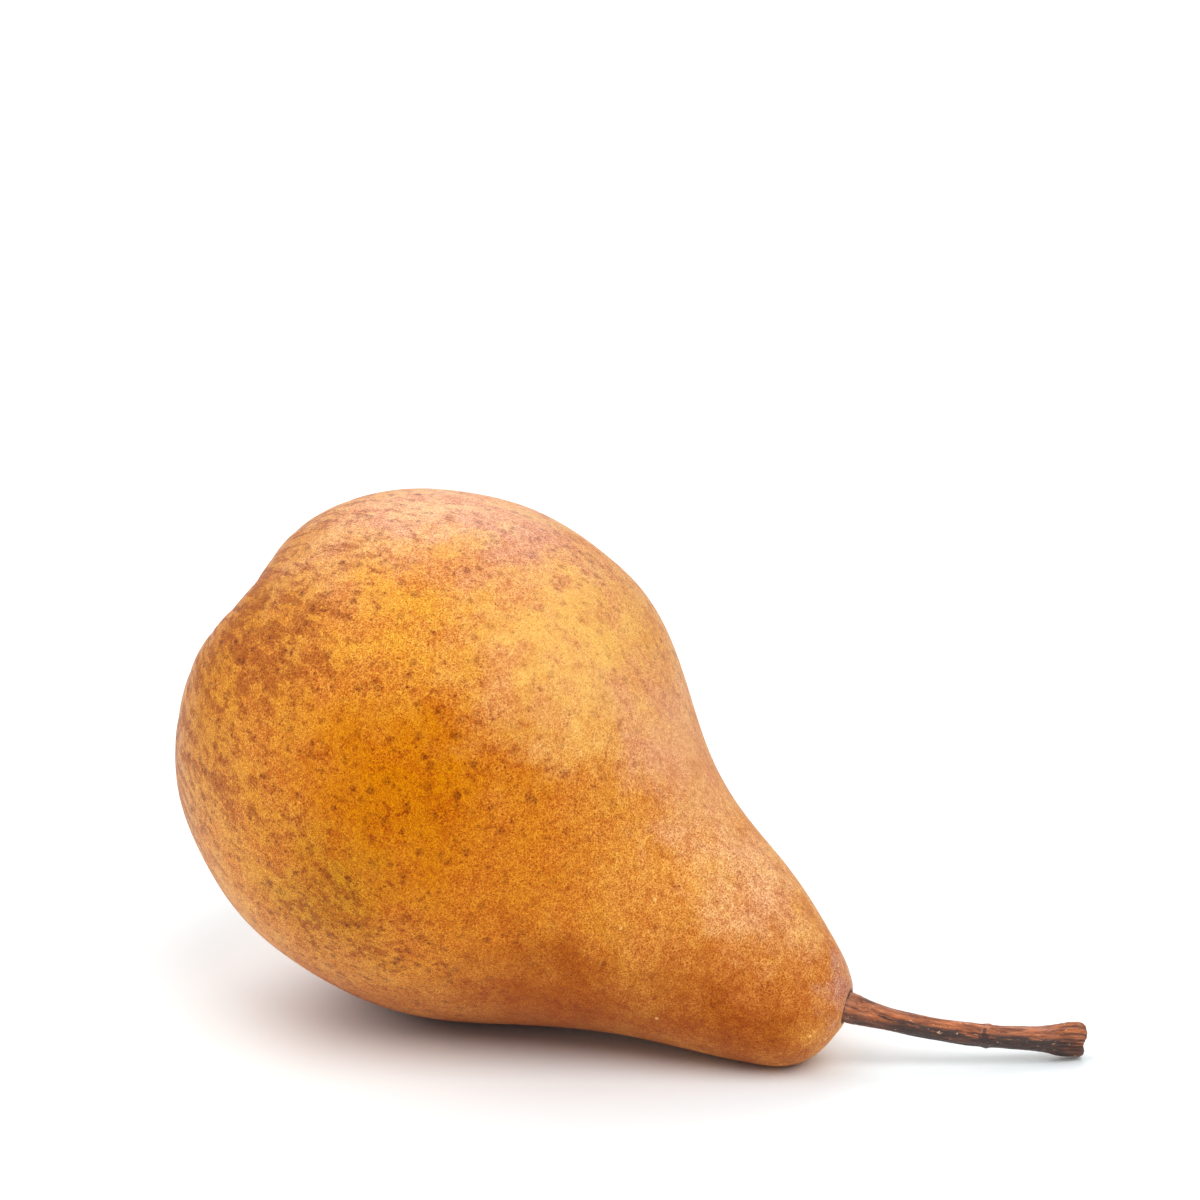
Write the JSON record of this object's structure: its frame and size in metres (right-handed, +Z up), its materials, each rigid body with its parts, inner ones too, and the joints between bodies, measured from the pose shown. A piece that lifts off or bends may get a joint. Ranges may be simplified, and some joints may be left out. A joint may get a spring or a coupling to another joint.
{
  "type": "pear",
  "caption": "Ripe russet pear with a long neck, lying on its side, with a curved woody stem and a dried calyx in its basin.",
  "frame": {"origin": "on the surface that the pear lies on, under the middle of its bounding box", "axes": "+Z up, +X the way the neck and the stem point, so +Y is to the left of the neck seen from the belly"},
  "size_m": [0.1278, 0.0732, 0.0739],
  "materials": {
    "skin": "satin russet skin, golden orange with brown flecks",
    "stem_wood": "dry reddish-brown bark with black patches",
    "dry_calyx": "dry dark-brown sepals"
  },
  "bodies": {
    "root": {"fruit": "skin", "stem": "stem_wood", "calyx": "dry_calyx"}
  },
  "joints": []
}
